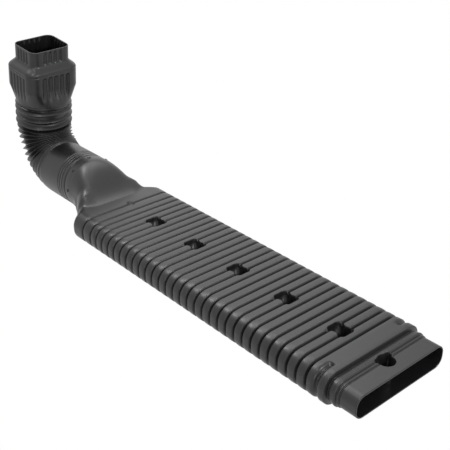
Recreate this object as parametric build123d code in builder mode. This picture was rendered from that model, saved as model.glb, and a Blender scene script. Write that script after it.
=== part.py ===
"""Low-profile downspout extension: a flat ribbed channel, a bellows elbow and a downspout adapter.

Millimetres, +Z up. The channel lies along X with its outlet at +X. The origin is on the ground, under
the axis of the middle one of the five wells between the ribs.
"""

import os
from math import atan, cos, degrees, radians, sin

from build123d import *

os.makedirs("parts", exist_ok=True)

# Channel: ribs run round a flat section with large corner radii
WALL = 2.0
CHANNEL_WIDTH = 210.0
CHANNEL_HEIGHT = 55.0
CORNER_SHARE = 24 / 55
CORNER_RADIUS = CORNER_SHARE * CHANNEL_HEIGHT
PITCH = 19.0
RIB_DEPTH = 5.0
RIB_FLAT = 7.0
FIRST_RIB = 25.3
INLET_LAND = 24.0

# Wells: blind cones from the roof to the floor, which prop the roof
WELL_COUNT = 5
WELL_STEP_RIBS = 6
RIBS_BEFORE_WELLS = 4
RIBS_AFTER_WELLS = 1
WELL_RADIUS = 13.0
WELL_FOOT_RADIUS = 7.5
SPIGOT_WELL_SETBACK = 29.0

# Outlet end: land with side grooves, neck, bead and plain spigot
OUTLET_LAND = 30.0
SIDE_GROOVE_REACH = 7.0
GROOVE_OVERCUT = 1.0
NECK_DEPTH = 12.0
NECK_LENGTH = 8.0
BEAD_DEPTH = 7.0
BEAD_LENGTH = 6.0
STEP_RUN = 2.0
SPIGOT_DEPTH = 8.0
SPIGOT_LENGTH = 32.5

# Inlet end: round collar, hump and flared shoulders
TUBE_RADIUS = 56.0
COLLAR_LENGTH = 30.0
HUMP_LENGTH = 90.0
HUMP_WIDTH = 130.0
HUMP_OVERLAP = 9.0
HUMP_SINK = 2.0
HUMP_ROUNDNESS = 0.97
HUMP_SHARES = (0, 0.25, 0.5, 0.75, 1)
SHOULDER_LENGTH = 64.0
SHOULDER_START = 0.7
SHOULDER_SHARES = (0.3, 0.6, 0.8, 1)

# Elbow: bellows tube, with a cuff that plugs into the collar
FIT_GAP = 0.3
ELBOW_WALL = 1.8
CUFF_LENGTH = 24.0
FOOT_LENGTH = 72.0
BEND_RADIUS = 77.0
BEND_ANGLE = 98.0
HEAD_LENGTH = 47.0
OPEN_FOLDS = 7
OPEN_ANGLE = 44.0
FOLD_DEPTH = 5.5
CLOSED_FOLDS = 3
FOLDS_PER_PASSAGE_STEP = 3
HEAD_RINGS = 3
HEAD_RING_DEPTH = 2.5

# Adapter: rectangular socket and body over a round plug
ADAPTER_WALL = 2.2
PLUG_LENGTH = 30.0
RIM_LENGTH = 5.0
TAPER_LENGTH = 31.0
BODY_X = 95.0
BODY_Y = 118.0
BODY_CORNER = 16.0
BODY_LENGTH = 42.0
SHOULDER_HEIGHT = 17.0
SHOULDER_INSET = 12.0
SOCKET_X = 74.0
SOCKET_Y = 90.0
SOCKET_CORNER = 11.0
SOCKET_LENGTH = 28.0
ADAPTER_TURN = 3.5
FLUTE_DEPTH = 2.4
SOCKET_FLUTES = 4
SOCKET_FLUTE_STEP_X = 9.5
SOCKET_FLUTE_STEP_Y = 12.0
BODY_FLUTES = 5
BODY_FLUTE_STEP_X = 11.0
BODY_FLUTE_STEP_Y = 13.7

# Stations along the channel, from the middle of the row of wells
flank = (PITCH - RIB_FLAT) / 2
ribs = RIBS_BEFORE_WELLS + (WELL_COUNT - 1) * WELL_STEP_RIBS + 1 + RIBS_AFTER_WELLS
middle_rib = RIBS_BEFORE_WELLS + (WELL_COUNT - 1) * WELL_STEP_RIBS / 2


def groove(count):
    """X of the ring groove that follows this many whole ribs."""
    return (count - middle_rib - 0.5) * PITCH


first_groove = groove(1) - FIRST_RIB
body_start = first_groove - flank - INLET_LAND
land_start = groove(ribs) + flank
land_end = land_start + OUTLET_LAND
neck_end = land_end + STEP_RUN + NECK_LENGTH
bead_start = neck_end + STEP_RUN
bead_end = bead_start + BEAD_LENGTH
spigot_start = bead_end + STEP_RUN
mouth = spigot_start + SPIGOT_LENGTH
collar_end = body_start - HUMP_LENGTH
collar_mouth = collar_end - COLLAR_LENGTH


def ease(share):
    """Smooth step from 0 to 1."""
    return share * share * (3 - 2 * share)


def cross_plane(x):
    """Plane across the channel at x, with its own X along world Y and its own Y up."""
    return Plane(origin=(x, 0, 0), x_dir=(0, 1, 0), z_dir=(1, 0, 0))


def rounded_section(x, width, bottom, top, corner):
    """Rounded rectangle across the channel."""
    with BuildSketch(cross_plane(x)) as section:
        with Locations((0, (bottom + top) / 2)):
            RectangleRounded(width, top - bottom, corner)
    return section.sketch


def hump_sections(inset):
    """Sections of the hump, from the round collar down to just under the channel's roof."""
    sections = []
    for share in HUMP_SHARES:
        x = collar_end + share * (HUMP_LENGTH + HUMP_OVERLAP)
        width = 2 * TUBE_RADIUS + (HUMP_WIDTH - 2 * TUBE_RADIUS) * ease(share)
        top = 2 * TUBE_RADIUS - (2 * TUBE_RADIUS - CHANNEL_HEIGHT + HUMP_SINK) * ease(share)
        corner = HUMP_ROUNDNESS * min(width, top) / 2
        corner += (CORNER_RADIUS - corner) * ease(share)
        sections.append(rounded_section(x, width - 2 * inset, inset, top - inset, corner - inset))
    return sections


def shoulder_sections(inset):
    """Sections of the shoulders, which flare from inside the hump to the full channel."""
    start = 2 * TUBE_RADIUS * SHOULDER_START
    lift = (1 - SHOULDER_START) * CORNER_RADIUS
    sections = [
        rounded_section(
            body_start - SHOULDER_LENGTH - CORNER_RADIUS,
            start - 2 * inset,
            lift + inset,
            CHANNEL_HEIGHT - lift - inset,
            CORNER_RADIUS * SHOULDER_START - inset,
        )
    ]
    for share in SHOULDER_SHARES:
        x = body_start - SHOULDER_LENGTH * (1 - share)
        flare = share**3 / (share**3 + 1 - share)
        width = 2 * TUBE_RADIUS + (CHANNEL_WIDTH - 2 * TUBE_RADIUS) * flare
        sections.append(
            rounded_section(x, width - 2 * inset, inset, CHANNEL_HEIGHT - inset, CORNER_RADIUS - inset)
        )
    return sections


# Ribbed wall: one closed wall profile swept round the flat section
inner_depth = RIB_DEPTH + WALL
outer_line = [(body_start, 0)]
for x in [first_groove] + [groove(count) for count in range(1, ribs + 1)]:
    outer_line += [(x - flank, 0), (x, RIB_DEPTH), (x + flank, 0)]
outer_line += [
    (land_end, 0),
    (land_end + STEP_RUN, NECK_DEPTH),
    (neck_end, NECK_DEPTH),
    (bead_start, BEAD_DEPTH),
    (bead_end, BEAD_DEPTH),
    (spigot_start, SPIGOT_DEPTH),
    (mouth, SPIGOT_DEPTH),
]
inner_line = [
    (body_start, WALL),
    (first_groove - flank - WALL, WALL),
    (first_groove - WALL, inner_depth),
    (land_end - WALL, inner_depth),
    (land_end - WALL + STEP_RUN, NECK_DEPTH + WALL),
    (bead_start, NECK_DEPTH + WALL),
    (spigot_start, SPIGOT_DEPTH + WALL),
    (mouth, SPIGOT_DEPTH + WALL),
]
half_width = CHANNEL_WIDTH / 2
side_groove = groove(ribs + 1)
side_groove_start = half_width - CORNER_RADIUS - SIDE_GROOVE_REACH
spigot_well = mouth - SPIGOT_WELL_SETBACK

with BuildPart() as channel:
    with BuildLine(Plane.YZ) as girth:
        roof = Line((0, CHANNEL_HEIGHT), (half_width - CORNER_RADIUS, CHANNEL_HEIGHT))
        corner = JernArc(roof @ 1, roof % 1, CORNER_RADIUS, -90)
        side = Line(corner @ 1, (half_width, CORNER_RADIUS))
        corner = JernArc(side @ 1, side % 1, CORNER_RADIUS, -90)
        floor = Line(corner @ 1, (CORNER_RADIUS - half_width, 0))
        corner = JernArc(floor @ 1, floor % 1, CORNER_RADIUS, -90)
        side = Line(corner @ 1, (-half_width, CHANNEL_HEIGHT - CORNER_RADIUS))
        corner = JernArc(side @ 1, side % 1, CORNER_RADIUS, -90)
        Line(corner @ 1, (0, CHANNEL_HEIGHT))
    with BuildSketch(Plane.XZ) as wall_profile:
        with BuildLine():
            outline = outer_line + inner_line[::-1]
            Polyline([(x, CHANNEL_HEIGHT - depth) for x, depth in outline], close=True)
        make_face()
    sweep(path=girth.wires()[0])
    # Grooves on the sides of the outlet's land, which end on the roof and the floor
    for hand in (1, -1):
        with BuildLine(Plane.YZ) as side_path:
            start = Line(
                (hand * side_groove_start, CHANNEL_HEIGHT),
                (hand * (half_width - CORNER_RADIUS), CHANNEL_HEIGHT),
            )
            corner = JernArc(start @ 1, start % 1, CORNER_RADIUS, -90 * hand)
            side = Line(corner @ 1, (hand * half_width, CORNER_RADIUS))
            corner = JernArc(side @ 1, side % 1, CORNER_RADIUS, -90 * hand)
            Line(corner @ 1, (hand * side_groove_start, 0))
        with BuildSketch(Plane.XZ.offset(-hand * side_groove_start)) as vee:
            half_vee = flank * (1 + GROOVE_OVERCUT / RIB_DEPTH)
            with BuildLine():
                Polyline(
                    (side_groove - half_vee, CHANNEL_HEIGHT + GROOVE_OVERCUT),
                    (side_groove, CHANNEL_HEIGHT - RIB_DEPTH),
                    (side_groove + half_vee, CHANNEL_HEIGHT + GROOVE_OVERCUT),
                    close=True,
                )
            make_face()
        sweep(path=side_path.wires()[0], mode=Mode.SUBTRACT)
    # Shoulders, hump and collar, filled and then hollowed
    loft(shoulder_sections(0), ruled=True)
    loft(hump_sections(0), ruled=True)
    with BuildSketch(cross_plane(collar_mouth)) as collar:
        with Locations((0, TUBE_RADIUS)):
            Circle(TUBE_RADIUS)
    extrude(amount=COLLAR_LENGTH)
    loft(shoulder_sections(WALL), ruled=True, mode=Mode.SUBTRACT)
    loft(hump_sections(WALL), ruled=True, mode=Mode.SUBTRACT)
    with BuildSketch(cross_plane(collar_mouth)) as collar_bore:
        with Locations((0, TUBE_RADIUS)):
            Circle(TUBE_RADIUS - WALL)
    extrude(amount=COLLAR_LENGTH, mode=Mode.SUBTRACT)
    with BuildSketch(cross_plane(body_start)) as inlet_void:
        with Locations((0, CHANNEL_HEIGHT / 2)):
            RectangleRounded(CHANNEL_WIDTH - 2 * WALL, CHANNEL_HEIGHT - 2 * WALL, CORNER_RADIUS - WALL)
    extrude(amount=INLET_LAND - WALL, mode=Mode.SUBTRACT)

    # Wells: posts from the floor to the roof, then the open cones inside them
    well_places = GridLocations(WELL_STEP_RIBS * PITCH, 1, WELL_COUNT, 1).locations
    for x, foot, roof_level in [(place.position.X, 0, CHANNEL_HEIGHT) for place in well_places] + [
        (spigot_well, SPIGOT_DEPTH, CHANNEL_HEIGHT - SPIGOT_DEPTH)
    ]:
        depth = roof_level - foot - 2 * WALL
        with Locations((x, 0, foot + WALL / 2)):
            Cone(
                WELL_FOOT_RADIUS + WALL,
                WELL_RADIUS + WALL,
                depth + WALL,
                align=(Align.CENTER, Align.CENTER, Align.MIN),
            )
        with Locations((x, 0, foot + 2 * WALL)):
            Cone(
                WELL_FOOT_RADIUS,
                WELL_RADIUS,
                depth,
                align=(Align.CENTER, Align.CENTER, Align.MIN),
                mode=Mode.SUBTRACT,
            )

channel.part.label = "low_profile_channel"
export_step(channel.part, "parts/low_profile_channel.step")


# Elbow: circles along a path that leaves the collar, bends upward and ends under the adapter
bend_length = radians(BEND_ANGLE) * BEND_RADIUS
path_length = FOOT_LENGTH + bend_length + HEAD_LENGTH


def path_plane(distance):
    """Plane across the elbow at a distance along its path, with its own X along world Y."""
    bend = min(max(distance - FOOT_LENGTH, 0), bend_length) / BEND_RADIUS
    before = min(distance, FOOT_LENGTH)
    after = max(distance - FOOT_LENGTH - bend_length, 0)
    x = collar_mouth - FIT_GAP - before - BEND_RADIUS * sin(bend) - after * cos(bend)
    z = TUBE_RADIUS + BEND_RADIUS * (1 - cos(bend)) + after * sin(bend)
    return Plane(origin=(x, 0, z), x_dir=(0, 1, 0), z_dir=(-cos(bend), 0, sin(bend)))


def tube(stations, mode=Mode.ADD):
    """Loft through circles given as distance along the path and radius."""
    circles = []
    for distance, radius in stations:
        with BuildSketch(path_plane(distance)) as ring:
            Circle(radius)
        circles.append(ring.sketch)
    return loft(circles, ruled=True, mode=mode)


fold_step = radians(OPEN_ANGLE) * BEND_RADIUS / OPEN_FOLDS
closed_step = (bend_length - OPEN_FOLDS * fold_step) / CLOSED_FOLDS
bend_end = FOOT_LENGTH + bend_length
ring_step = HEAD_LENGTH / (HEAD_RINGS + 0.5)

elbow_outline = [(0, TUBE_RADIUS), (FOOT_LENGTH, TUBE_RADIUS)]
for fold in range(CLOSED_FOLDS):
    elbow_outline.append((FOOT_LENGTH + (fold + 1) * closed_step, TUBE_RADIUS))
for fold in range(OPEN_FOLDS):
    start = bend_end - (OPEN_FOLDS - fold) * fold_step
    elbow_outline.append((start + fold_step / 2, TUBE_RADIUS - FOLD_DEPTH))
    elbow_outline.append((start + fold_step, TUBE_RADIUS))
for ring in range(HEAD_RINGS):
    middle = bend_end + (ring + 0.5) * ring_step
    elbow_outline.append((middle, TUBE_RADIUS - HEAD_RING_DEPTH))
    elbow_outline.append((middle + ring_step / 2, TUBE_RADIUS))
elbow_outline.append((path_length, TUBE_RADIUS))

cuff_radius = TUBE_RADIUS - WALL - FIT_GAP
head_radius = TUBE_RADIUS - HEAD_RING_DEPTH - ELBOW_WALL
fold_radius = TUBE_RADIUS - FOLD_DEPTH - ELBOW_WALL
elbow_passage = [(-CUFF_LENGTH, cuff_radius - ELBOW_WALL), (FOOT_LENGTH, cuff_radius - ELBOW_WALL)]
for fold in range(CLOSED_FOLDS):
    elbow_passage.append((FOOT_LENGTH + (fold + 1) * closed_step, cuff_radius - ELBOW_WALL))
for fold in range(1, OPEN_FOLDS, FOLDS_PER_PASSAGE_STEP):
    elbow_passage.append((bend_end - (OPEN_FOLDS - fold) * fold_step, fold_radius))
elbow_passage += [(bend_end, head_radius), (path_length, head_radius)]

with BuildPart() as elbow:
    tube(elbow_outline)
    with BuildSketch(path_plane(0)) as cuff:
        Circle(cuff_radius)
    extrude(amount=-CUFF_LENGTH)
    tube(elbow_passage, mode=Mode.SUBTRACT)

elbow.part.label = "flexible_elbow"
export_step(elbow.part, "parts/flexible_elbow.step")


# Adapter: heights are above the end of the elbow, along the elbow's own axis
elbow_top = path_plane(path_length + FIT_GAP)
body_start_height = RIM_LENGTH + TAPER_LENGTH
body_end_height = body_start_height + BODY_LENGTH
socket_start_height = body_end_height + SHOULDER_HEIGHT
socket_end_height = socket_start_height + SOCKET_LENGTH


def adapter_plane(height):
    """Plane at a height above the elbow, turned as the adapter is, with its own X along world Y."""
    x_dir = elbow_top.x_dir.rotate(Axis((0, 0, 0), elbow_top.z_dir), ADAPTER_TURN)
    return Plane(origin=elbow_top.origin, x_dir=x_dir, z_dir=elbow_top.z_dir).offset(height)


def adapter_circles(stations):
    """Circles given as height above the elbow and radius."""
    circles = []
    for height, radius in stations:
        with BuildSketch(adapter_plane(height)) as ring:
            Circle(radius)
        circles.append(ring.sketch)
    return circles


def flute_grid(size_x, size_y, step_x, step_y, count, bar):
    """Squares on edge, centred on the four sides of a rectangle."""
    with GridLocations(size_y, step_x, 2, count):
        Rectangle(bar, bar, rotation=45)
    with GridLocations(step_y, size_x, count, 2):
        Rectangle(bar, bar, rotation=45)


def adapter_walls(inset, bar):
    """Rim cone, fluted body, tapered shoulder and fluted socket, inset for the inside."""
    rim_height = RIM_LENGTH - inset
    radius = TUBE_RADIUS - inset
    spread = (BODY_X**2 + BODY_Y**2) ** 0.5 / 2
    body = (BODY_Y - 2 * inset, BODY_X - 2 * inset, BODY_CORNER - inset)
    socket = (SOCKET_Y - 2 * inset, SOCKET_X - 2 * inset, SOCKET_CORNER - inset)
    with BuildPart() as walls:
        with BuildSketch(adapter_plane(rim_height)):
            RectangleRounded(*body)
        extrude(amount=body_end_height - rim_height)
        with BuildSketch(adapter_plane(body_start_height)):
            flute_grid(BODY_X, BODY_Y, BODY_FLUTE_STEP_X, BODY_FLUTE_STEP_Y, BODY_FLUTES, bar)
        extrude(amount=BODY_LENGTH, mode=Mode.SUBTRACT)
        with BuildSketch(adapter_plane(body_end_height)):
            RectangleRounded(*body)
        extrude(amount=SHOULDER_HEIGHT, taper=degrees(atan(SHOULDER_INSET / SHOULDER_HEIGHT)))
        with BuildSketch(adapter_plane(body_end_height)):
            RectangleRounded(*socket)
        extrude(amount=SHOULDER_HEIGHT + SOCKET_LENGTH + inset)
        with BuildSketch(adapter_plane(socket_start_height)):
            flute_grid(SOCKET_X, SOCKET_Y, SOCKET_FLUTE_STEP_X, SOCKET_FLUTE_STEP_Y, SOCKET_FLUTES, bar)
        extrude(amount=SOCKET_LENGTH + inset, mode=Mode.SUBTRACT)
        spreading = [(rim_height, radius), (body_start_height, spread), (socket_end_height + inset, spread)]
        loft(adapter_circles(spreading), ruled=True, mode=Mode.INTERSECT)
        closing = [(rim_height, radius), (body_start_height, BODY_X / 2 - inset - 2 * FLUTE_DEPTH)]
        loft(adapter_circles(closing), ruled=True)
    return walls.part


flute_bar = FLUTE_DEPTH * 2**0.5
adapter_space = adapter_walls(ADAPTER_WALL, flute_bar + 2 * ADAPTER_WALL)
adapter_shape = adapter_walls(0, flute_bar)

with BuildPart() as adapter:
    add(adapter_shape)
    with BuildSketch(elbow_top):
        Circle(TUBE_RADIUS)
    extrude(amount=RIM_LENGTH)
    with BuildSketch(elbow_top):
        Circle(head_radius - FIT_GAP)
    extrude(amount=-PLUG_LENGTH)
    add(adapter_space, mode=Mode.SUBTRACT)
    with BuildSketch(elbow_top.offset(-PLUG_LENGTH)):
        Circle(head_radius - FIT_GAP - ADAPTER_WALL)
    extrude(amount=PLUG_LENGTH + RIM_LENGTH, mode=Mode.SUBTRACT)

adapter.part.label = "downspout_adapter"
export_step(adapter.part, "parts/downspout_adapter.step")
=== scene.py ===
"""Looks for the low-profile downspout extension: three black blow-moulded pieces on a white studio floor.

Shapes are worked out in millimetres, in the frame of the CAD part, and turned to metres as each mesh is made.
"""

import math

import bmesh
import bpy
import numpy as np
from mathutils import Matrix, Vector


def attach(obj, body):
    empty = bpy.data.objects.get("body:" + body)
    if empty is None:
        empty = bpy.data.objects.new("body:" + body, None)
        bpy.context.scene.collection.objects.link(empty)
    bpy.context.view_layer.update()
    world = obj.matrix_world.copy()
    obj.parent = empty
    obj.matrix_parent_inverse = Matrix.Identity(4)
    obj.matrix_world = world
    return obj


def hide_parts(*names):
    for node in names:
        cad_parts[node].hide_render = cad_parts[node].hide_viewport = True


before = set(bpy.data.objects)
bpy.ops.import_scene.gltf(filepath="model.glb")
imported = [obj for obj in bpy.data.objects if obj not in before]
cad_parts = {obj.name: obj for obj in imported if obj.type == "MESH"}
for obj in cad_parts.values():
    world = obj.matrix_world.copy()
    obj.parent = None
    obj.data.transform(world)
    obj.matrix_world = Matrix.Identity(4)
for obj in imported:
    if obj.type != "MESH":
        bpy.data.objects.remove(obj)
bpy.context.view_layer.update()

MM = 0.001

# Channel: x runs from the middle of the row of wells, and depths go down from the ribs' crests
WALL = 2.0
HALF_WIDTH = 105.0
HEIGHT = 55.0
CORNER = 24.0
INNER_DEPTH = 7.0
PITCH = 19.0
RIB_DEPTH = 6.0
VALLEY_REACH = 3.3
VALLEY_FULLNESS = 0.8
CREST_CROWN = 0.9
FIRST_VALLEY = -319.8
SECOND_VALLEY = -294.5
EVEN_PITCHES = 29
LAST_VALLEY = SECOND_VALLEY + EVEN_PITCHES * PITCH
RECESS_CENTRE = (-322.0, 8.0)
RECESS_REACH = (8.0, 5.5)
RECESS_DEPTH = 5.0

# Outlet: a land with one groove on its sides, then a neck, a bead and the spigot
SIDE_VALLEY = LAST_VALLEY + PITCH
SIDE_VALLEY_REACH = 5.5
FAR_GROOVE_START = 74.0
NEAR_GROOVE_START = 69.0
LAND_END = 292.5
SPIGOT_DEPTH = 8.0
SPIGOT_BORE = SPIGOT_DEPTH + WALL
NECK_BORE = 12.5
MOUTH = 345.0
EDGE_ROUNDING = 0.8

# Wells: cones that stand on the channel's floor, with a lip where the roof runs over into them
WELLS = 5
WELL_STEP = 6 * PITCH
WELL_PLACES = [(i - (WELLS - 1) / 2) * WELL_STEP for i in range(WELLS)]
SPIGOT_WELL = 316.0
WELL_RADIUS = 13.0
WELL_FOOT = 7.5
WELL_PATCH = 20.0
LIP_REACH = 2.4
LIP_SLOPE = 5.0
POCKET_FADE = (6, 24)
LOBED_RIM = 14.6
RIM_TONGUE = 2.8
RIM_POCKET = 5.2
NOTCHED_RIM = 13.6
RIM_NOTCH = 4.6
NOTCH_ANGLE = math.radians(118)
NOTCH_WIDTH = math.radians(15)

# Collar, hump and shoulders
TUBE_RADIUS = 56.0
COLLAR_MOUTH = -469.8
COLLAR_END = -439.8
HUMP_END = -340.8
HUMP_HALF_WIDTH = 65.0
HUMP_SINK = 2.0
HUMP_ROUNDING = 0.985
SHOULDER_START = -419.8
SHOULDER_TUCK = 16.0
SHOULDER_LIFT = 7.0
BODY_START = -349.8
CREASE_WIDTH = 10.0
HOLLOW_WIDTH = 44.0
HOLLOW_PER_RISE = 2.2
HOLLOW_EDGES = (25, 65)
SNAP_X = -448.5
SNAP_HALF_LENGTH = 2.4
SNAP_HALF_WIDTH = 4.2
SNAP_ANGLES = [math.radians(a) for a in (-45, 0, 45, 90, 135, 180, 225)]

# Adapter: heights run up from its rim on the elbow, outlines are half width, half depth and corner radius
ADAPTER_TURN = math.radians(3.5)
ADAPTER_WALL = 2.2
PLUG_LENGTH = 30.0
PLUG_RADIUS = 51.4
RIM_HEIGHT = 5.0
TAPER_HEIGHT = 34.0
BODY_OUTLINE = (59.0, 47.5, 21.0)
SOCKET_OUTLINE = (45.0, 37.0, 15.0)
SEAM_HEIGHT = 75.0
SEAM_DEPTH = 0.9
SHOULDER_FOOT = 78.0
SHOULDER_TOP = 95.0
SOCKET_TOP = 123.0

# Flutes: a span is where they start, are full, begin to end and have ended, then come step, number and depth
BODY_FLUTE_SPAN = (12, 30, 68, 72)
BODY_END_FLUTES = (11.0, 5, 2.6)
BODY_FACE_FLUTES = (13.7, 5, 4.2)
SOCKET_FLUTE_SPAN = (93, 97, 117, 121.5)
SOCKET_END_FLUTES = (9.5, 4, 2.6)
SOCKET_FACE_FLUTES = (12.0, 4, 2.4)

# Elbow: distances run along its path, from the collar's mouth to the adapter's rim
FIT_GAP = 0.3
ELBOW_WALL = 1.8
CUFF_LENGTH = 24.0
CUFF_DEPTH = WALL + FIT_GAP
FOOT_LENGTH = 72.0
FOOT_RINGS = (6, 13)
RING_DEPTH = 0.9
BEND_RADIUS = 77.0
BEND_ANGLE = math.radians(98.0)
BEND_LENGTH = BEND_ANGLE * BEND_RADIUS
BEND_END = FOOT_LENGTH + BEND_LENGTH
HEAD_LENGTH = 47.0
PATH_END = BEND_END + HEAD_LENGTH
HEAD_SWELL = 2.6
HEAD_MOUTH = TUBE_RADIUS - PLUG_RADIUS - FIT_GAP
FOLD_DEPTH = 8.0
FOLD_FULLNESS = 0.6
FOLD_STEP = 10.2
LAST_BEND_CREST = 197.5
HEAD_CRESTS = [208.5, 224.5, 239.5]
SHUT_IN_BEND = 0.8
SHUT_IN_FOOT = 0.86
BORE_DEPTH = FOLD_DEPTH + ELBOW_WALL
BORE_SPLIT = BEND_END - math.radians(44.0) * BEND_RADIUS

# Finishes: sRGB hex colours, and sizes in millimetres
PLASTIC_BLACK = "#151516"
PLASTIC_SHEEN = "#1b1b1d"
PLASTIC_ROUGHNESS = 0.36
PLASTIC_IOR = 1.5
CLOUD_SIZE = 40.0
GRAIN_SIZE = 0.3
PEBBLE_SIZE = 4 * GRAIN_SIZE
PEBBLE_HEIGHT = 0.08
PAPER_WHITE = "#f4f4f4"
PURE_WHITE = "#ffffff"

# Studio, in metres: name, place, the point it faces, width and height, and watts of each lamp
FLOOR_HALF = 6.0
WORLD_STRENGTH = 0.18
LAMPS = [
    ("overhead_softbox", (-0.8, 0.5, 1.7), (-0.1, 0, 0), (1.4, 0.9), 13),
    ("rear_softbox", (-2.4, 1.9, 1.5), (-0.1, 0, 0.1), (2.2, 1.8), 7),
    ("key_spot", (-1.25, -0.35, 1.7), (-0.1, 0, 0.1), (0.35, 0.35), 11),
    ("front_spot", (0.15, -0.65, 1.75), (-0.2, 0, 0.1), (0.3, 0.3), 6),
    ("end_softbox", (1.9, 0.45, 1.25), (-0.6, 0, 0.22), (0.5, 0.5), 22),
    ("mouth_fill", (1.4, -0.9, 0.35), (0.33, 0, 0.02), (0.6, 0.3), 3),
]

# Camera fitted to the photograph: picture and focal length in pixels, sensor in millimetres, place in metres
PHOTO_WIDTH_PIXELS = 450
FOCAL_PIXELS = 815.8
SENSOR_WIDTH = 36
CAMERA_PLACE = Vector((0.8680, -0.7852, 0.7609))
CAMERA_RIGHT = Vector((0.6568, 0.7540, 0))
CAMERA_FORWARD = Vector((-0.6657, 0.5799, -0.4696))


def smooth_step(low, high, value):
    """0 on the low side, 1 on the high side, and an even curve between."""
    t = np.clip((value - low) / (high - low), 0, 1)
    return t * t * (3 - 2 * t)


def smooth_min(a, b, blend):
    """The smaller of two distances, rounded where they are about equal."""
    h = np.clip(0.5 + 0.5 * (b - a) / blend, 0, 1)
    return b + (a - b) * h - blend * h * (1 - h)


def rounded_box_distance(y, z, half, low, high, corner):
    """Distance from points to a rounded rectangle, negative inside."""
    qy = np.abs(y) - (half - corner)
    qz = np.abs(z - (low + high) / 2) - ((high - low) / 2 - corner)
    outside = np.hypot(np.maximum(qy, 0), np.maximum(qz, 0))
    return outside + np.minimum(np.maximum(qy, qz), 0) - corner


def solve_rays(distance, reach):
    """Radius along each ray at which a distance changes sign, by halving."""
    near = np.zeros_like(reach)
    far = reach.copy()
    for _ in range(26):
        middle = (near + far) / 2
        inside = distance(middle) < 0
        near = np.where(inside, middle, near)
        far = np.where(inside, far, middle)
    return (near + far) / 2


def rounded_line(points, radius, steps=4):
    """Polyline whose corners are rounded, as station and depth pairs."""
    points = [np.array(p, float) for p in points]
    line = [points[0]]
    for before, here, after in zip(points, points[1:], points[2:]):
        reach = min(radius, np.linalg.norm(here - before) / 2, np.linalg.norm(after - here) / 2)
        a = here + (before - here) / np.linalg.norm(before - here) * reach
        b = here + (after - here) / np.linalg.norm(after - here) * reach
        for t in np.linspace(0, 1, steps):
            line.append((1 - t) ** 2 * a + 2 * t * (1 - t) * here + t * t * b)
    line.append(points[-1])
    return [tuple(p) for p in line]


def mesh_object(name, points, faces, sharp_degrees):
    """Mesh object in metres from points in millimetres, with smooth shading up to an angle."""
    mesh = bpy.data.meshes.new(name)
    mesh.from_pydata((np.asarray(points) * MM).tolist(), [], faces)
    work = bmesh.new()
    work.from_mesh(mesh)
    bmesh.ops.remove_doubles(work, verts=work.verts, dist=1e-6)
    bmesh.ops.recalc_face_normals(work, faces=work.faces)
    work.to_mesh(mesh)
    work.free()
    mesh.shade_smooth()
    mesh.set_sharp_from_angle(angle=math.radians(sharp_degrees))
    piece = bpy.data.objects.new(name, mesh)
    bpy.context.scene.collection.objects.link(piece)
    return piece


def grid_faces(rows, columns, closed_rows=False, start=0, keep=None):
    """Quads of a grid that is closed round its columns."""
    faces = []
    for i in range(rows if closed_rows else rows - 1):
        for j in range(columns):
            if keep is not None and not keep[i, j]:
                continue
            k = (j + 1) % columns
            n = (i + 1) % rows
            faces.append((start + i * columns + j, start + i * columns + k,
                          start + n * columns + k, start + n * columns + j))
    return faces


# Channel


def girth_samples():
    """Points and outward normals round the crest of the section, starting at the middle of the roof."""
    flat = HALF_WIDTH - CORNER
    fine_from = NEAR_GROOVE_START - 1
    roof = np.concatenate([np.linspace(0, WELL_PATCH, 9), np.linspace(WELL_PATCH, fine_from, 10)[1:],
                           np.linspace(fine_from, flat, 8)[1:]])

    def corner_arc(height, degrees):
        return [(flat + CORNER * math.cos(a), height + CORNER * math.sin(a), math.cos(a), math.sin(a))
                for a in np.radians(degrees)]

    right = [(y, HEIGHT, 0, 1) for y in roof]
    right += corner_arc(HEIGHT - CORNER, np.linspace(90, 0, 12)[1:])
    right += [(HALF_WIDTH, HEIGHT / 2, 1, 0)]
    right += corner_arc(CORNER, np.linspace(0, -90, 12))
    right += [(y, 0, 0, -1) for y in np.linspace(flat, 0, 8)[1:]]
    right = np.array(right)
    left = right[1:-1][::-1] * np.array([-1, 1, -1, 1])
    return np.vstack([right, left])


GIRTH = girth_samples()
GIRTH_POINTS = GIRTH[:, :2]
GIRTH_NORMALS = GIRTH[:, 2:]
ON_ROOF = GIRTH_NORMALS[:, 1] > 0.99
RAY_CENTRE = np.array([0.0, HEIGHT / 2])
RAY_REACH = 150.0


def rib_depth(x):
    """Depth below the crests: narrow rounded valleys between broad, slightly crowned crests."""
    x = np.asarray(x, float)
    away = np.abs((x - SECOND_VALLEY + PITCH / 2) % PITCH - PITCH / 2)
    away = np.where(x < SECOND_VALLEY - PITCH / 2, np.abs(x - FIRST_VALLEY), away)
    away = np.where(x > LAST_VALLEY + PITCH / 2, PITCH, away)
    valley = ((1 + np.cos(np.pi * np.clip(away / VALLEY_REACH, 0, 1))) / 2) ** VALLEY_FULLNESS
    crown = CREST_CROWN * np.clip(1 - away / (PITCH / 2), 0, 1) ** 2
    return (RIB_DEPTH - CREST_CROWN) * valley + crown


def side_groove(x, y):
    """Depth of the groove on the sides of the outlet's land, which starts further in on the near side."""
    wave = (1 + np.cos(np.pi * np.clip((x - SIDE_VALLEY) / SIDE_VALLEY_REACH, -1, 1))) / 2
    start = np.where(y < 0, NEAR_GROOVE_START, FAR_GROOVE_START)
    return RIB_DEPTH * wave**VALLEY_FULLNESS * smooth_step(start - 1.5, start + 2.5, np.abs(y))


def land_recess(x, y):
    """Depth of the small lozenge recess that interrupts the first groove."""
    away = np.hypot((x - RECESS_CENTRE[0]) / RECESS_REACH[0], (y - RECESS_CENTRE[1]) / RECESS_REACH[1])
    return RECESS_DEPTH * (1 - smooth_step(0.7, 1.15, away))


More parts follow.
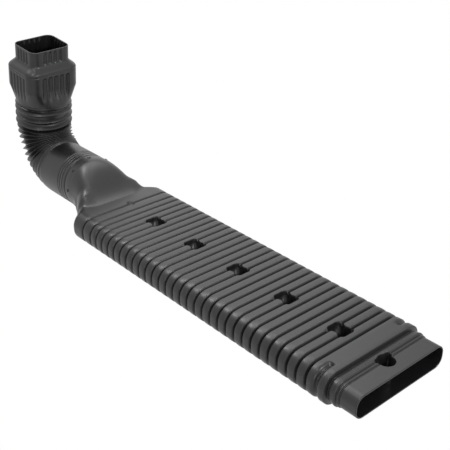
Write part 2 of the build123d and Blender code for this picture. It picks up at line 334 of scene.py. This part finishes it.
def hump_distance(x, y, z):
    """Distance to the hump and shoulders at a station, with a soft hollow where they meet."""
    tightest = 0.01
    along = smooth_step(COLLAR_END, HUMP_END, x)
    half = TUBE_RADIUS + (HUMP_HALF_WIDTH - TUBE_RADIUS) * along
    top = 2 * TUBE_RADIUS - (2 * TUBE_RADIUS - HEIGHT + HUMP_SINK) * along
    corner = HUMP_ROUNDING * min(half, top / 2)
    corner = corner + (CORNER - corner) * along if x > COLLAR_END else TUBE_RADIUS
    hump = rounded_box_distance(y, z, half, 0, top, corner)
    early = np.clip((x - SHOULDER_START) / CORNER, -1, 0)
    if early <= -1:
        return hump
    share = np.clip((x - SHOULDER_START) / (BODY_START - SHOULDER_START), 0, 1)
    flare = share**3 / (share**3 + 1 - share)
    side = TUBE_RADIUS + (HALF_WIDTH - TUBE_RADIUS) * flare + SHOULDER_TUCK * early
    lift = -SHOULDER_LIFT * early
    shoulder = rounded_box_distance(y, z, side, lift, HEIGHT - lift, CORNER - lift)
    widest = max(HOLLOW_PER_RISE * (top - HEIGHT), tightest)
    crease = min(CREASE_WIDTH * (1 - along) + tightest, widest)
    wide = min(HOLLOW_WIDTH * float(smooth_step(0.05, 0.55, along)), widest)
    hollow = crease + max(wide - crease, 0) * smooth_step(*HOLLOW_EDGES, np.abs(y))
    return smooth_min(hump, shoulder, hollow)


def channel_ring(x, inset):
    """Ring of points round the channel at a station, inset from its outside."""
    if x < HUMP_END:
        rays = GIRTH_POINTS - RAY_CENTRE
        rays = rays / np.hypot(rays[:, 0], rays[:, 1])[:, None]

        def distance(radius):
            y = RAY_CENTRE[0] + rays[:, 0] * radius
            z = RAY_CENTRE[1] + rays[:, 1] * radius
            return hump_distance(x, y, z) + inset

        radius = solve_rays(distance, np.full(len(rays), RAY_REACH))
        ring = RAY_CENTRE + rays * radius[:, None]
        ring[:, 1] = np.maximum(ring[:, 1], inset)
    else:
        depth = np.full(len(GIRTH), float(inset))
        if inset < WALL:
            across = GIRTH_POINTS[:, 0]
            depth += rib_depth(x) + side_groove(x, across)
            depth = np.where(ON_ROOF, np.maximum(depth, land_recess(x, across)), depth)
        ring = GIRTH_POINTS - GIRTH_NORMALS * depth[:, None]
    return np.column_stack([np.full(len(ring), x), ring])


def outside_stations():
    """Stations and depths along the channel's outside, from the collar's mouth to the spigot's."""
    collar = [(0, EDGE_ROUNDING), (EDGE_ROUNDING, 0), (8.6, 0), (9.6, 1.2), (11.4, 1.2), (12.4, 0)]
    collar = [(COLLAR_MOUTH + step, depth) for step, depth in collar]
    stations = rounded_line(collar + [(COLLAR_END - 2, 0)], 0.5, 3)
    stations += [(x, 0) for x in np.linspace(COLLAR_END, HUMP_END - 0.01, 54)]
    stations += [(x, 0) for x in np.linspace(HUMP_END, FIRST_VALLEY - 7.5, 9)]
    over_valley = [-6.5, -4.2, -3.3, -2.6, -1.9, -1.0, 0, 1.0, 1.9, 2.6, 3.3, 4.2, 6.5, PITCH / 2]
    even_valleys = [SECOND_VALLEY + i * PITCH for i in range(EVEN_PITCHES + 1)]
    for valley in [FIRST_VALLEY] + even_valleys + [SIDE_VALLEY]:
        stations += [(valley + step, 0) for step in over_valley]
    end_face = [(0, 0), (1.3, 7.8), (2.5, SPIGOT_DEPTH)]
    neck = [(4.2, 6.0), (11.1, 5.4), (12.9, 4.6), (15.1, 5.0), (15.9, 5.8)]
    bead = [(16.7, 7.9), (17.9, 7.9), (18.7, 6.6), (20.9, 6.6), (21.7, 8.9), (22.9, 8.9)]
    spigot = [(23.7, SPIGOT_DEPTH), (27.5, SPIGOT_DEPTH)]
    outlet = [(LAND_END + step, depth) for step, depth in end_face + neck + bead + spigot]
    stations += rounded_line([(SIDE_VALLEY + PITCH / 2, 0)] + outlet, 0.9)[1:]
    stations += [(SPIGOT_WELL + step, SPIGOT_DEPTH) for step in (6, 9, 13, 17, WELL_PATCH, 24)]
    stations += [(MOUTH - 2.0, SPIGOT_DEPTH), (MOUTH - 0.7, SPIGOT_DEPTH), (MOUTH, SPIGOT_DEPTH + 0.5)]
    return stations + [(MOUTH, SPIGOT_BORE - 0.4), (MOUTH - 0.4, SPIGOT_BORE)]


def inside_stations():
    """Stations and depths back along the channel's inside, from the spigot's mouth to the collar's."""
    past_well = SPIGOT_WELL + WELL_PATCH
    stations = [(MOUTH - 1, SPIGOT_BORE)]
    stations += [(x, SPIGOT_BORE) for x in np.linspace(past_well, SPIGOT_WELL - WELL_PATCH / 2, 6)]
    stations += [(SPIGOT_WELL - 12, SPIGOT_BORE + 0.5), (SPIGOT_WELL - 14, NECK_BORE)]
    stations += [(SPIGOT_WELL - WELL_PATCH, NECK_BORE), (LAND_END - 1, NECK_BORE)]
    stations += [(LAND_END - 3, INNER_DEPTH)]
    for middle in WELL_PLACES[::-1]:
        stations += [(x, INNER_DEPTH) for x in np.linspace(middle + WELL_PATCH, middle - WELL_PATCH, 9)]
    stations += [(FIRST_VALLEY, INNER_DEPTH), (FIRST_VALLEY - 14, WALL)]
    stations += [(x, WALL) for x in np.linspace(HUMP_END - 0.5, COLLAR_END, 14)]
    return stations + [(COLLAR_MOUTH + EDGE_ROUNDING, WALL)]


def patch_edge(xs):
    """Points round the square patch of roof that a well takes the place of."""
    roof = GIRTH_POINTS[ON_ROOF][:, 0]
    ys = np.unique(np.round(roof[np.abs(roof) < WELL_PATCH + 1e-6], 6))
    edge = [(x, ys[0]) for x in xs[:-1]] + [(xs[-1], y) for y in ys[:-1]]
    edge += [(x, ys[-1]) for x in xs[::-1][:-1]] + [(xs[0], y) for y in ys[::-1][:-1]]
    return np.array(edge)


def lobed_rim(angle):
    """Radius of a well between the ribs: tongues where its rib ends, pockets where the grooves run in."""
    return LOBED_RIM + RIM_TONGUE * np.cos(2 * angle) + RIM_POCKET * np.abs(np.sin(2 * angle)) ** 2.2


def notched_rim(angle):
    """Radius of the round well on the spigot, with a notch at each end of the bead's valley."""
    away = np.abs(np.angle(np.exp(1j * (np.abs(angle) - NOTCH_ANGLE))))
    return NOTCHED_RIM + RIM_NOTCH * np.exp(-((away / NOTCH_WIDTH) ** 2))


def well_sleeve(points, faces, x_mid, xs, roof, top, foot, rim, grow):
    """Roof round a well and the well's own wall: over a rounded lip and down a cone to its foot."""
    edge = patch_edge(xs)
    offset = edge - np.array([x_mid, 0.0])
    reach = np.hypot(offset[:, 0], offset[:, 1])
    heading = offset / reach[:, None]
    rim_radius = rim(np.arctan2(offset[:, 1], offset[:, 0])) + grow
    lip_edge = np.minimum(rim_radius + LIP_REACH, reach - 0.5)
    rows = []

    def add_row(radius, z):
        rows.append(np.column_stack([x_mid + heading[:, 0] * radius, heading[:, 1] * radius, z]))

    for t in np.linspace(0, 1, 8):
        radius = reach + (lip_edge - reach) * t
        add_row(radius, roof(x_mid + heading[:, 0] * radius))
    for t in np.linspace(0, 1, 9)[1:]:
        radius = lip_edge + (rim_radius - 0.5 - lip_edge) * t
        lip = top + 1.0 + (radius - rim_radius) * LIP_SLOPE
        add_row(radius, smooth_min(roof(x_mid + heading[:, 0] * radius), lip, LIP_REACH))
    cone_depth = top - foot
    for depth in (4, 6, 8, 10, 13, 16, 20, 25, 31, 38, cone_depth - 0.8):
        if depth < cone_depth:
            cone = WELL_RADIUS + grow - (WELL_RADIUS - WELL_FOOT) * depth / cone_depth
            pocket = (rim_radius - WELL_RADIUS - grow) * (1 - smooth_step(*POCKET_FADE, depth))
            z = np.minimum(rows[-1][:, 2] - 0.4, top - depth)
            add_row(cone + pocket - 0.5, z)
    last = WELL_FOOT + grow
    add_row(np.full(len(edge), last - 0.8), np.full(len(edge), foot + 0.2))
    add_row(np.full(len(edge), last - 2.0), np.full(len(edge), foot))
    start = len(points)
    points.extend(np.vstack(rows).tolist())
    faces.extend(grid_faces(len(rows), len(edge), start=start))
    faces.append(tuple(range(start + (len(rows) - 1) * len(edge), start + len(rows) * len(edge))))


def well_side(points, faces, x_mid, spot, inside):
    """One side of a well's wall: the one seen from above, or the wider one that the water runs past."""
    on_spigot = x_mid == SPIGOT_WELL
    spot = sorted(spot, key=lambda station: station[0])
    xs = np.array([x for x, _ in spot])
    insets = np.array([inset for _, inset in spot])

    def roof_level(x):
        ribs = 0 if on_spigot or inside else rib_depth(x)
        return HEIGHT - np.interp(x, xs, insets) - ribs

    rim = notched_rim if on_spigot else lobed_rim
    step_down = SPIGOT_DEPTH if on_spigot else 0
    top = HEIGHT - step_down
    foot = 2 * WALL + step_down
    if inside:
        well_sleeve(points, faces, x_mid, xs, roof_level, top, foot - WALL - 0.5, rim, WALL)
    else:
        well_sleeve(points, faces, x_mid, xs, roof_level, top, foot, rim, 0)


def snap(points, faces, angle):
    """Low oval dome on the collar, where the moulding grips the tube."""
    outward = np.array([0.0, math.cos(angle), math.sin(angle)])
    centre = np.array([SNAP_X, 0.0, TUBE_RADIUS]) + outward * (TUBE_RADIUS - 0.4)
    along = np.array([1.0, 0.0, 0.0])
    across = np.cross(outward, along)
    turns = np.linspace(0, 2 * np.pi, 20, endpoint=False)
    start = len(points)
    sizes_and_heights = ((1.0, 0.0), (0.96, 0.9), (0.8, 1.6), (0.5, 1.9), (0.2, 1.7))
    for size, height in sizes_and_heights:
        ring = np.cos(turns)[:, None] * along * SNAP_HALF_LENGTH * size
        ring = ring + np.sin(turns)[:, None] * across * SNAP_HALF_WIDTH * size
        points.extend((centre + ring + outward * height).tolist())
    faces.extend(grid_faces(len(sizes_and_heights), len(turns), start=start))
    last = start + (len(sizes_and_heights) - 1) * len(turns)
    faces.append(tuple(range(last, last + len(turns))))
    faces.append(tuple(range(start, start + len(turns)))[::-1])


def channel_mesh():
    """The whole channel shell, with its wells let into the roof and standing on the floor inside."""
    outside = outside_stations()
    stations = outside + inside_stations()
    rings = [channel_ring(x, inset) for x, inset in stations]
    points = np.vstack(rings).tolist()
    keep = np.ones((len(rings), len(GIRTH)), bool)
    face_middle = np.abs(GIRTH_POINTS[:, 0] + np.roll(GIRTH_POINTS[:, 0], -1)) / 2
    in_patch = ON_ROOF & np.roll(ON_ROOF, -1) & (face_middle < WELL_PATCH)
    patches = []
    for x_mid in WELL_PLACES + [SPIGOT_WELL]:
        for first, last in ((0, len(outside)), (len(outside), len(stations))):
            spot = [i for i in range(first, last) if abs(stations[i][0] - x_mid) < WELL_PATCH + 0.01]
            keep[np.ix_(spot[:-1], in_patch)] = False
            patches.append((x_mid, [stations[i] for i in spot], first > 0))
    faces = grid_faces(len(rings), len(GIRTH), closed_rows=True, keep=keep)
    for x_mid, spot, inside in patches:
        well_side(points, faces, x_mid, spot, inside)
    for angle in SNAP_ANGLES:
        snap(points, faces, angle)
    return mesh_object("ribbed_channel", points, faces, 42)


# Elbow


def path_frame(distance):
    """Centre, outward direction and tangent of the elbow at a distance along its path."""
    bend = min(max(distance - FOOT_LENGTH, 0), BEND_LENGTH) / BEND_RADIUS
    before = min(distance, FOOT_LENGTH)
    after = max(distance - FOOT_LENGTH - BEND_LENGTH, 0)
    x = COLLAR_MOUTH - FIT_GAP - before - BEND_RADIUS * math.sin(bend) - after * math.cos(bend)
    z = TUBE_RADIUS + BEND_RADIUS * (1 - math.cos(bend)) + after * math.sin(bend)
    tangent = np.array([-math.cos(bend), 0, math.sin(bend)])
    outward = np.array([-math.sin(bend), 0, -math.cos(bend)])
    return np.array([x, 0, z]), outward, tangent


BEND_CRESTS = np.arange(LAST_BEND_CREST, FOOT_LENGTH + 4, -FOLD_STEP)[::-1]
FOLD_CRESTS = np.concatenate([BEND_CRESTS, HEAD_CRESTS, [PATH_END + 9]])


def fold_depth(distance):
    """Depth of the folds below their crests: wide on the head, even round the bend, none at the mouth."""
    k = int(np.clip(np.searchsorted(FOLD_CRESTS, distance), 1, len(FOLD_CRESTS) - 1))
    phase = (distance - FOLD_CRESTS[k - 1]) / (FOLD_CRESTS[k] - FOLD_CRESTS[k - 1])
    wave = ((1 - math.cos(2 * math.pi * phase)) / 2) ** FOLD_FULLNESS if 0 < phase < 1 else 0.0
    return FOLD_DEPTH * wave * min(max(PATH_END - 1 - distance, 0) / 4, 1)


def elbow_stations():
    """Distance along the path and depth below the tube's full radius, outside and then inside."""
    stations = [(0.0, EDGE_ROUNDING), (EDGE_ROUNDING, 0.0), (3.0, 0.0)]
    for ring in FOOT_RINGS:
        stations += [(ring, 0.0), (ring + 0.8, RING_DEPTH), (ring + 1.8, RING_DEPTH), (ring + 2.6, 0.0)]
    stations += [(d, 0.0) for d in np.linspace(18, FOOT_LENGTH - 4, 6)]
    stations += [(d, fold_depth(d)) for d in np.arange(FOOT_LENGTH, PATH_END - 1.2, FOLD_STEP / 13)]
    stations += [(PATH_END - EDGE_ROUNDING, 0.0), (PATH_END, EDGE_ROUNDING), (PATH_END, HEAD_MOUTH)]
    bore = [PATH_END - 20, BEND_END, BEND_END - 10]
    bore += np.linspace(BEND_END - 18, BORE_SPLIT, 6).tolist()
    bore += np.linspace(BORE_SPLIT - 8, FOOT_LENGTH + 8, 6).tolist()
    stations += [(d, BORE_DEPTH) for d in bore]
    cuff_bore = CUFF_DEPTH + ELBOW_WALL
    stations += [(FOOT_LENGTH, cuff_bore), (-CUFF_LENGTH, cuff_bore)]
    return stations + [(-CUFF_LENGTH, CUFF_DEPTH), (0.0, CUFF_DEPTH)]


def elbow_mesh():
    """Bellows tube and its cuff: the folds stand open on the outside of the bend and shut on the inside."""
    turns = np.linspace(0, 2 * np.pi, 160, endpoint=False)
    shut = smooth_step(0.25, 0.85, -np.cos(turns))
    flank = 1 - smooth_step(0.72, 1.0, np.abs(np.cos(turns)))
    rings = []
    for distance, depth in elbow_stations():
        centre, outward, _ = path_frame(distance)
        in_bend = smooth_step(BEND_END + 4, BEND_END - 14, distance)
        in_foot = smooth_step(FOOT_LENGTH + 66, FOOT_LENGTH + 26, distance)
        folding = FOOT_LENGTH < distance < PATH_END - 1 and depth <= FOLD_DEPTH
        share = 1 - np.maximum(shut * in_bend * SHUT_IN_BEND, SHUT_IN_FOOT * in_foot) if folding else 1.0
        radius = TUBE_RADIUS - depth * share * np.ones(len(turns))
        if folding:
            radius += HEAD_SWELL * flank * smooth_step(BEND_END - 10, BEND_END + 10, distance)
        spoke = np.cos(turns)[:, None] * outward + np.sin(turns)[:, None] * np.array([0, 1, 0])
        rings.append(centre + radius[:, None] * spoke)
    points = np.vstack(rings).tolist()
    return mesh_object("bellows_elbow", points, grid_faces(len(rings), len(turns), closed_rows=True), 50)


# Adapter


def adapter_frame():
    """Origin and the directions across and along the adapter."""
    centre, _, along = path_frame(PATH_END + FIT_GAP)
    side = np.array([0.0, 1.0, 0.0])
    front = np.cross(along, side)
    u = side * math.cos(ADAPTER_TURN) + front * math.sin(ADAPTER_TURN)
    v = -side * math.sin(ADAPTER_TURN) + front * math.cos(ADAPTER_TURN)
    return centre, u, v, along


def flute(position, step, count, depth):
    """Depth of rounded flutes across a face."""
    phase = position / step + (0.5 if count % 2 == 0 else 0.0)
    wave = ((1 + np.cos(2 * np.pi * phase)) / 2) ** 1.6
    within = 1 - smooth_step((count - 0.15) / 2 * step, (count + 0.15) / 2 * step, np.abs(position))
    return depth * wave * within


def flute_share(height, start, full, wane, end):
    """1 where the flutes have their full depth, 0 beyond their ends."""
    return smooth_step(start, full, height) * (1 - smooth_step(wane, end, height))


def adapter_outline(angles, height, inset):
    """Radius of the adapter along each angle: round at the elbow, rectangular and fluted above."""
    ray_u = np.cos(angles)
    ray_v = np.sin(angles)
    rise = smooth_step(SHOULDER_FOOT, SHOULDER_TOP, height)
    half_u, half_v, corner = [b + (s - b) * rise for b, s in zip(BODY_OUTLINE, SOCKET_OUTLINE)]
    on_body = flute_share(height, *BODY_FLUTE_SPAN)
    on_socket = flute_share(height, *SOCKET_FLUTE_SPAN)
    seam = SEAM_DEPTH * math.exp(-(((height - SEAM_HEIGHT) / 0.8) ** 2))
    reach = 110.0

    def distance(radius):
        u = ray_u * radius
        v = ray_v * radius
        cut_u = on_body * flute(v, *BODY_END_FLUTES) + on_socket * flute(v, *SOCKET_END_FLUTES)
        cut_v = on_body * flute(u, *BODY_FACE_FLUTES) + on_socket * flute(u, *SOCKET_FACE_FLUTES)
        qu = np.abs(u) - (half_u - cut_u - corner)
        qv = np.abs(v) - (half_v - cut_v - corner)
        box = np.hypot(np.maximum(qu, 0), np.maximum(qv, 0)) + np.minimum(np.maximum(qu, qv), 0) - corner
        return box + inset + seam

    squareness = float(np.clip((height - RIM_HEIGHT) / TAPER_HEIGHT, 0, 1))
    rectangle = solve_rays(distance, np.full(len(angles), reach))
    return (TUBE_RADIUS - inset) * (1 - squareness) + rectangle * squareness


def adapter_mesh():
    """Plug, taper, fluted body, shoulder and fluted socket, with an even wall."""
    angles = np.linspace(0, 2 * np.pi, 320, endpoint=False)
    plug_bore = PLUG_RADIUS - ADAPTER_WALL
    plug = [(-PLUG_LENGTH, plug_bore), (-PLUG_LENGTH, PLUG_RADIUS), (0, PLUG_RADIUS)]
    rim = [(0, TUBE_RADIUS - 0.6), (0.6, TUBE_RADIUS), (4.4, TUBE_RADIUS), (5.2, TUBE_RADIUS - 0.4)]
    rows = [(height, np.full(len(angles), radius, float)) for height, radius in plug + rim]
    body = [np.linspace(6, 43, 18), np.linspace(45, 73, 13)]
    over_seam = [73.8, 74.4, SEAM_HEIGHT, 75.6, 76.2, 77.5]
    socket = [np.linspace(79, 96, 14), np.linspace(98, 121.8, 10)]
    heights = np.concatenate(body + [over_seam] + socket)
    rows += [(h, adapter_outline(angles, h, 0)) for h in heights]
    for drop, inset in ((0.2, 0.2), (0, 0.9), (0, 1.5), (0.6, ADAPTER_WALL)):
        rows.append((SOCKET_TOP - drop, adapter_outline(angles, SOCKET_TOP - drop, inset)))
    rows += [(h, adapter_outline(angles, h, ADAPTER_WALL)) for h in heights[::-2]]
    rows += [(3.0, np.full(len(angles), TUBE_RADIUS - 2.5)), (2.0, np.full(len(angles), plug_bore))]
    centre, u, v, along = adapter_frame()
    spoke = np.cos(angles)[:, None] * u + np.sin(angles)[:, None] * v
    rings = [centre + along * height + radius[:, None] * spoke for height, radius in rows]
    points = np.vstack(rings).tolist()
    return mesh_object("fluted_adapter", points, grid_faces(len(rows), len(angles), closed_rows=True), 50)


# Materials


def linear(hex_colour):
    """sRGB hex colour as linear red, green, blue and full alpha."""
    channels = [int(hex_colour[i : i + 2], 16) / 255 for i in (1, 3, 5)]
    return [c / 12.92 if c <= 0.04045 else ((c + 0.055) / 1.055) ** 2.4 for c in channels] + [1.0]


def add_node(tree, kind, settings=(), links=()):
    """One node with its settings, and links from other nodes' outputs to its inputs, by name or number."""
    node = tree.nodes.new(kind)
    for name, value in dict(settings).items():
        if isinstance(name, int) or name in node.inputs:
            node.inputs[name].default_value = value
        else:
            setattr(node, name, value)
    for name, output in dict(links).items():
        tree.links.new(output, node.inputs[name])
    return node


def bare_material(name):
    """New material without nodes."""
    material = bpy.data.materials.new(name)
    material.use_nodes = True
    material.node_tree.nodes.clear()
    return material


def black_blow_moulded_polyethylene():
    """Black polyethylene, blow moulded: a waxy satin skin with broad soft highlights and no clear mirroring.

    The clouds are faint, as where a wall cools unevenly. The grain that a blasted mould leaves is too fine to
    show, so the pebble is drawn four times as coarse.
    """
    material = bare_material("black_blow_moulded_polyethylene")
    tree = material.node_tree
    place = {"Vector": add_node(tree, "ShaderNodeTexCoord").outputs["Object"]}
    cloud = add_node(tree, "ShaderNodeTexNoise", {"Scale": 1 / (CLOUD_SIZE * MM), "Detail": 3.0}, place)
    pebble = add_node(tree, "ShaderNodeTexNoise", {"Scale": 1 / (PEBBLE_SIZE * MM), "Detail": 2.0}, place)
    # A mix node's two colours are its inputs 6 and 7, and the mixed colour is its output 2
    tone = add_node(tree, "ShaderNodeMix",
                    {"data_type": "RGBA", 6: linear(PLASTIC_BLACK), 7: linear(PLASTIC_SHEEN)},
                    {"Factor": cloud.outputs["Fac"]})
    gloss = add_node(tree, "ShaderNodeMapRange",
                     {"To Min": PLASTIC_ROUGHNESS - 0.05, "To Max": PLASTIC_ROUGHNESS + 0.08},
                     {"Value": cloud.outputs["Fac"]})
    relief = add_node(tree, "ShaderNodeBump",
                      {"Strength": 0.25, "Distance": PEBBLE_HEIGHT * MM}, {"Height": pebble.outputs["Fac"]})
    shader = add_node(tree, "ShaderNodeBsdfPrincipled", {"IOR": PLASTIC_IOR},
                      {"Base Color": tone.outputs[2], "Roughness": gloss.outputs["Result"],
                       "Normal": relief.outputs["Normal"]})
    add_node(tree, "ShaderNodeOutputMaterial", (), {"Surface": shader.outputs["BSDF"]})
    return material


def seen_white(tree):
    """1 for the rays that see a white backdrop: from the camera, in a reflection or through glass."""
    light_path = add_node(tree, "ShaderNodeLightPath")
    seen = light_path.outputs["Is Camera Ray"]
    for ray in ("Is Glossy Ray", "Is Transmission Ray"):
        either = add_node(tree, "ShaderNodeMath", {"operation": "MAXIMUM"},
                          {0: seen, 1: light_path.outputs[ray]})
        seen = either.outputs[0]
    return seen


def white_backdrop_paper():
    """Matt uncoated paper: no gloss, and pure white where it is seen, so that no horizon shows."""
    material = bare_material("white_backdrop_paper")
    tree = material.node_tree
    paper = add_node(tree, "ShaderNodeBsdfDiffuse", {"Color": linear(PAPER_WHITE)})
    glow = add_node(tree, "ShaderNodeEmission", {"Color": linear(PURE_WHITE), "Strength": 1.0})
    both = add_node(tree, "ShaderNodeMixShader", (),
                    {0: seen_white(tree), 1: paper.outputs[0], 2: glow.outputs[0]})
    add_node(tree, "ShaderNodeOutputMaterial", (), {"Surface": both.outputs[0]})
    return material


# Pieces


def dress(piece, node, material):
    """Lets a piece stand for its CAD node."""
    piece.data.materials.append(material)
    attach(piece, "root")
    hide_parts(node)


plastic = black_blow_moulded_polyethylene()
dress(channel_mesh(), "low_profile_channel", plastic)
dress(elbow_mesh(), "flexible_elbow", plastic)
dress(adapter_mesh(), "downspout_adapter", plastic)

# Studio


def studio_floor():
    """White floor that fades into the backdrop."""
    corners = [(x * FLOOR_HALF, y * FLOOR_HALF, 0) for x, y in ((-1, -1), (1, -1), (1, 1), (-1, 1))]
    mesh = bpy.data.meshes.new("studio_floor")
    mesh.from_pydata(corners, [], [(0, 1, 2, 3)])
    mesh.materials.append(white_backdrop_paper())
    floor = bpy.data.objects.new("studio_floor", mesh)
    bpy.context.scene.collection.objects.link(floor)


def studio_world():
    """Dim even light from all round, white where it is seen."""
    world = bpy.data.worlds.new("studio")
    bpy.context.scene.world = world
    world.use_nodes = True
    tree = world.node_tree
    tree.nodes.clear()
    dim = add_node(tree, "ShaderNodeBackground", {"Color": linear(PURE_WHITE), "Strength": WORLD_STRENGTH})
    white = add_node(tree, "ShaderNodeBackground", {"Color": linear(PURE_WHITE), "Strength": 1.0})
    both = add_node(tree, "ShaderNodeMixShader", (),
                    {0: seen_white(tree), 1: dim.outputs[0], 2: white.outputs[0]})
    add_node(tree, "ShaderNodeOutputWorld", (), {"Surface": both.outputs[0]})


def area_light(name, place, target, size, power):
    """Soft lamp that faces a point."""
    light = bpy.data.lights.new(name, "AREA")
    light.shape = "RECTANGLE"
    light.size, light.size_y = size
    light.energy = power
    lamp = bpy.data.objects.new(name, light)
    lamp.location = place
    lamp.rotation_euler = (Vector(target) - Vector(place)).to_track_quat("-Z", "Y").to_euler()
    bpy.context.scene.collection.objects.link(lamp)


def photo_camera():
    """Camera that sees the pieces as the photograph does."""
    scene = bpy.context.scene
    camera_data = bpy.data.cameras.new("camera")
    camera_data.lens = SENSOR_WIDTH * FOCAL_PIXELS / PHOTO_WIDTH_PIXELS
    camera_data.sensor_width = SENSOR_WIDTH
    camera = bpy.data.objects.new("camera", camera_data)
    up = CAMERA_RIGHT.cross(CAMERA_FORWARD)
    axes = zip(CAMERA_RIGHT, up, -CAMERA_FORWARD, CAMERA_PLACE)
    camera.matrix_world = Matrix([*axes, (0, 0, 0, 1)])
    scene.collection.objects.link(camera)
    scene.camera = camera


studio_floor()
studio_world()
for lamp_settings in LAMPS:
    area_light(*lamp_settings)
photo_camera()
bpy.context.scene.view_settings.view_transform = "Standard"

bpy.context.view_layer.update()
